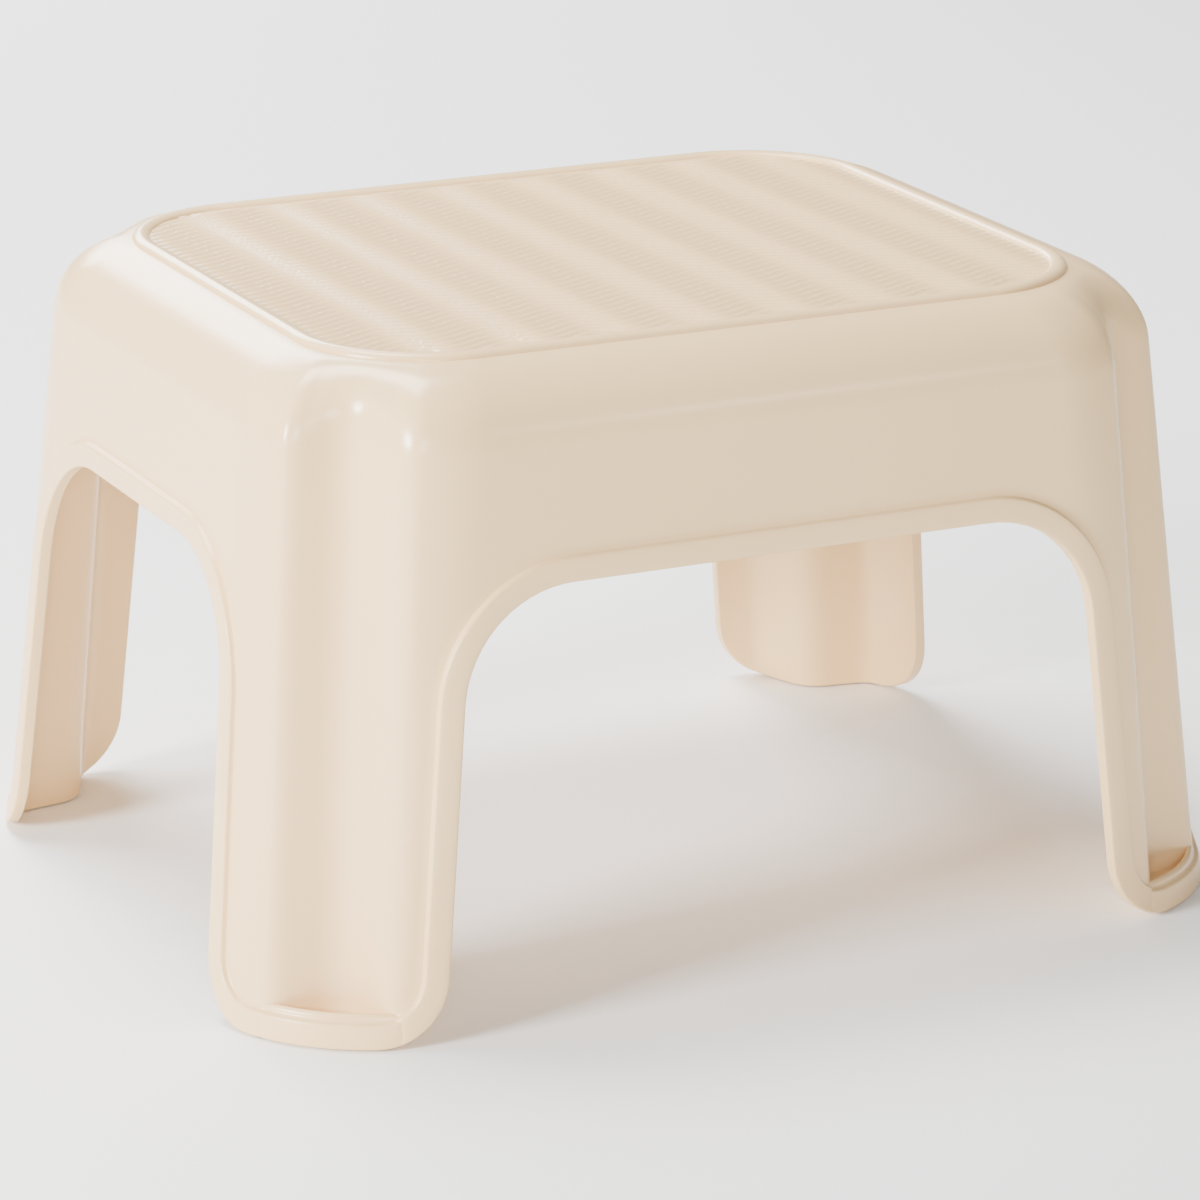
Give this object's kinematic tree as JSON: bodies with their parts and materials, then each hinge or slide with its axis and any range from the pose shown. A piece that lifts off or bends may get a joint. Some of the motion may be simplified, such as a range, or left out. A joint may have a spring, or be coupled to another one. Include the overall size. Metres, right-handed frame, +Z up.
{
  "type": "step stool",
  "caption": "One-step household stool moulded in cream plastic, with fluted splayed legs, arched openings on every side and a ribbed non-slip tread inside a raised border.",
  "frame": {"origin": "on the floor, below the middle of the tread", "axes": "+X along the long side, -Y towards the front, +Z up from the floor to the tread"},
  "size_m": [0.3952, 0.3242, 0.235],
  "materials": {
    "moulded_plastic": "glossy, slightly translucent injection-moulded polypropylene in cream",
    "pad_rubber": "matt moulded rubber"
  },
  "bodies": {
    "root": {"moulded_shell": "moulded_plastic", "foot_pad_front_left": "pad_rubber", "foot_pad_front_right": "pad_rubber", "foot_pad_back_left": "pad_rubber", "foot_pad_back_right": "pad_rubber"}
  },
  "joints": []
}
